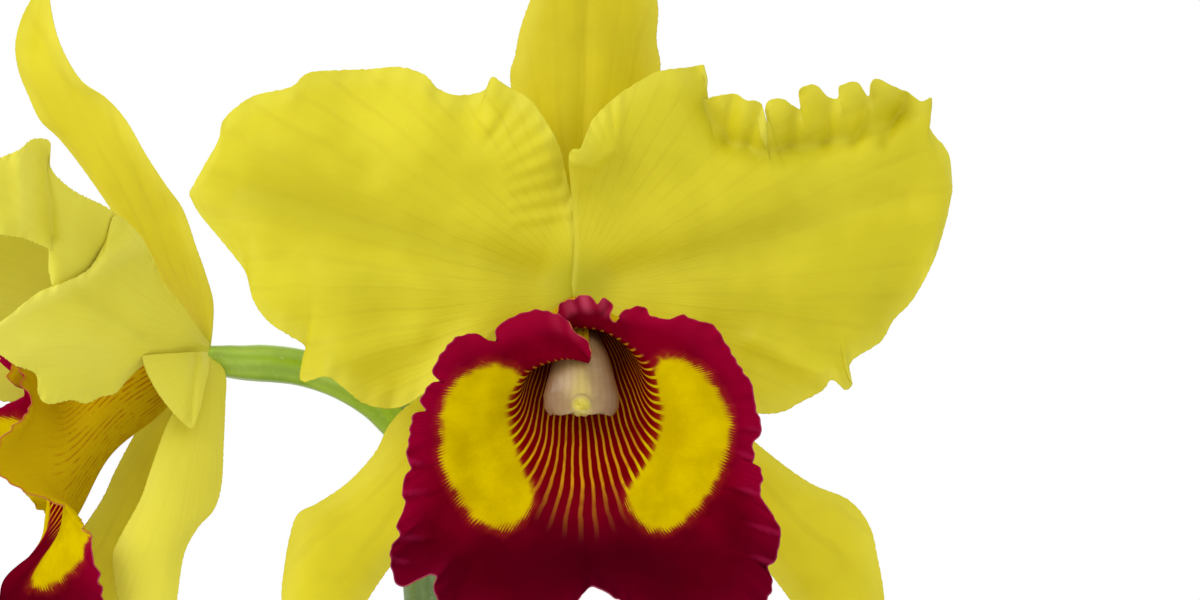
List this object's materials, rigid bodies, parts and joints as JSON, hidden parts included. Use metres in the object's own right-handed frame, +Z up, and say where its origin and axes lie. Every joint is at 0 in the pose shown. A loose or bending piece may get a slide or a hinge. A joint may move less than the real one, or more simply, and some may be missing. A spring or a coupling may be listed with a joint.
{
  "type": "potted orchid",
  "caption": "Potted cattleya-type orchid: clay pot of bark, club-shaped bulbs with strap leaves, and a stem with broad yellow flowers that have a frilled crimson lip.",
  "frame": {"origin": "centre of the underside of the pot, on the surface that the pot stands on", "axes": "+Z up along the pot's axis; the front flower faces -Y; +X is to the right of someone who looks at that flower"},
  "size_m": [0.3695, 0.2881, 0.5231],
  "materials": {
    "pot": "matte fired clay",
    "bark": "rough bark chips",
    "rhizome": "matte woody skin",
    "root": "matte velvety skin",
    "bulb": "satin ribbed skin",
    "sheath": "dry papery",
    "leaf": "satin waxy",
    "stem": "satin",
    "spathe": "dry papery",
    "ovary": "satin",
    "petal": "soft satin",
    "sepal": "soft satin",
    "lip": "velvety",
    "column": "waxy satin",
    "anther": "waxy satin"
  },
  "bodies": {
    "root": {"pot": "pot", "bark_bed": "bark", "rhizome": "rhizome", "root_1": "root", "root_2": "root", "root_3": "root", "root_4": "root", "root_5": "root", "pseudobulb_1": "bulb", "pseudobulb_2": "bulb", "pseudobulb_3": "bulb", "pseudobulb_4": "bulb", "pseudobulb_5": "bulb", "bulb_sheath_3": "sheath", "bulb_sheath_4": "sheath", "bulb_sheath_5": "sheath", "leaf_1": "leaf", "leaf_2": "leaf", "leaf_3": "leaf", "leaf_4": "leaf", "leaf_5": "leaf", "spathe": "spathe", "peduncle": "stem", "front_ovary": "ovary", "front_dorsal_sepal": "sepal", "front_lateral_sepal_left": "sepal", "front_lateral_sepal_right": "sepal", "front_petal_left": "petal", "front_petal_right": "petal", "front_lip": "lip", "front_column": "column", "front_anther_cap": "anther", "side_ovary": "ovary", "side_dorsal_sepal": "sepal", "side_lateral_sepal_near": "sepal", "side_lateral_sepal_far": "sepal", "side_petal_near": "petal", "side_petal_far": "petal", "side_lip": "lip", "side_column": "column", "side_anther_cap": "anther"}
  },
  "joints": []
}
